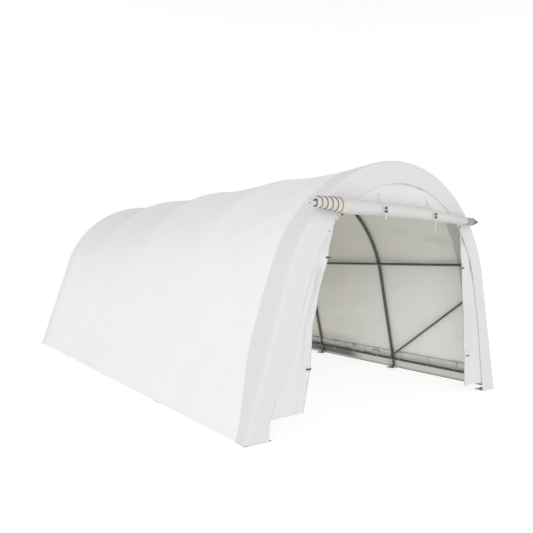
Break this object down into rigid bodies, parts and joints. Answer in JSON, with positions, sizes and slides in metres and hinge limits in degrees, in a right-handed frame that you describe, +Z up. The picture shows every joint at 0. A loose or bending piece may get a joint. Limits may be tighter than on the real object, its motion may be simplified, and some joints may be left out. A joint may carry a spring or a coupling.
{
  "type": "round-top livestock shelter",
  "caption": "Round-top fabric shelter on galvanised tube ribs, open front with the zip door rolled up and tied, loose side flaps and foot plates.",
  "frame": {"origin": "on the ground, at the middle of the shelter's bounding box with the door ties left out", "axes": "+Z up, +Y from the open front towards the closed rear along the ridge, +X across the width; left and right are as seen when facing the open front"},
  "size_m": [3.6542, 6.3317, 2.4384],
  "materials": {
    "cover_cloth": "satin",
    "panel_cloth": "satin",
    "tube_steel": "satin",
    "plate_steel": "satin",
    "tie_cord": "matte",
    "dark_plastic": "satin",
    "zip_tape": "matte"
  },
  "bodies": {
    "root": {"foot_1_left": "plate_steel", "rib_1_left_leg": "tube_steel", "rib_1_left_bend": "tube_steel", "foot_1_right": "plate_steel", "rib_1_right_leg": "tube_steel", "rib_1_right_bend": "tube_steel", "foot_2_left": "plate_steel", "rib_2_left_leg": "tube_steel", "rib_2_left_bend": "tube_steel", "foot_2_right": "plate_steel", "rib_2_right_leg": "tube_steel", "rib_2_right_bend": "tube_steel", "foot_3_left": "plate_steel", "rib_3_left_leg": "tube_steel", "rib_3_left_bend": "tube_steel", "foot_3_right": "plate_steel", "rib_3_right_leg": "tube_steel", "rib_3_right_bend": "tube_steel", "foot_4_left": "plate_steel", "rib_4_left_leg": "tube_steel", "rib_4_left_bend": "tube_steel", "foot_4_right": "plate_steel", "rib_4_right_leg": "tube_steel", "rib_4_right_bend": "tube_steel", "foot_5_left": "plate_steel", "rib_5_left_leg": "tube_steel", "rib_5_left_bend": "tube_steel", "foot_5_right": "plate_steel", "rib_5_right_leg": "tube_steel", "rib_5_right_bend": "tube_steel", "ridge_purlin": "tube_steel", "left_purlin": "tube_steel", "right_purlin": "tube_steel", "left_base_rail": "tube_steel", "right_base_rail": "tube_steel", "rear_base_rail": "tube_steel", "front_left_brace": "tube_steel", "front_right_brace": "tube_steel", "rear_left_brace": "tube_steel", "rear_right_brace": "tube_steel", "main_cover": "cover_cloth", "front_fascia": "cover_cloth", "rear_fascia": "cover_cloth", "rear_panel": "panel_cloth", "front_header": "panel_cloth", "left_lacing_strip": "panel_cloth", "right_lacing_strip": "panel_cloth", "door_curtain": "panel_cloth"},
    "left_flap": {"left_flap": "panel_cloth"},
    "right_flap": {"right_flap": "panel_cloth"},
    "door_bar": {"roll_bar": "tube_steel"},
    "door_roll": {"door_roll": "panel_cloth"},
    "tie_left": {"tie_cord_left": "tie_cord", "tie_toggle_left": "dark_plastic"},
    "tie_right": {"tie_cord_right": "tie_cord", "tie_toggle_right": "dark_plastic"},
    "left_hook_upper": {"left_hook_upper": "dark_plastic"},
    "left_hook_lower": {"left_hook_lower": "dark_plastic"},
    "right_hook_upper": {"right_hook_upper": "dark_plastic"},
    "right_hook_lower": {"right_hook_lower": "dark_plastic"}
  },
  "joints": [
    {"name": "door_drop", "type": "slide", "parent": "root", "child": "door_bar", "axis": [0, 0, -1], "range_m": [0, 1.75], "deforming": ["door_curtain"]},
    {"name": "door_spin", "type": "hinge", "parent": "door_bar", "child": "door_roll", "pos_m": [0, -3.085, 1.93], "axis": [0.9996, 0, 0.0279], "range_deg": [0, 2341]},
    {"name": "left_flap_swing", "type": "hinge", "parent": "root", "child": "left_flap", "pos_m": [-1.59723, -3.0025, 0.15], "axis": [0.2768, 0, 0.9609], "range_deg": [0, 60]},
    {"name": "right_flap_swing", "type": "hinge", "parent": "root", "child": "right_flap", "pos_m": [1.59723, -3.0025, 0.15], "axis": [0.2768, 0, -0.9609], "range_deg": [0, 60]},
    {"name": "tie_left_lift", "type": "hinge", "parent": "root", "child": "tie_left", "pos_m": [-0.425, -3.0095, 2.08], "axis": [-1, 0, 0], "range_deg": [0, 95]},
    {"name": "tie_right_lift", "type": "hinge", "parent": "root", "child": "tie_right", "pos_m": [0.32, -3.0095, 2.08], "axis": [-1, 0, 0], "range_deg": [0, 95]},
    {"name": "left_hook_upper_turn", "type": "hinge", "parent": "left_flap", "child": "left_hook_upper", "pos_m": [-1.06404, -3.0065, 1.47], "axis": [0, 1, 0], "range_deg": [-50, 50]},
    {"name": "left_hook_lower_turn", "type": "hinge", "parent": "left_flap", "child": "left_hook_lower", "pos_m": [-1.23621, -3.0065, 0.536], "axis": [0, 1, 0], "range_deg": [-50, 50]},
    {"name": "right_hook_upper_turn", "type": "hinge", "parent": "right_flap", "child": "right_hook_upper", "pos_m": [1.02461, -3.0065, 1.447], "axis": [0, 1, 0], "range_deg": [-50, 50]},
    {"name": "right_hook_lower_turn", "type": "hinge", "parent": "right_flap", "child": "right_hook_lower", "pos_m": [1.20866, -3.0065, 0.457], "axis": [0, 1, 0], "range_deg": [-50, 50]}
  ],
  "couplings": [
    {"joint": "door_spin", "follows": "door_drop", "rad_per_m": 23.338}
  ]
}
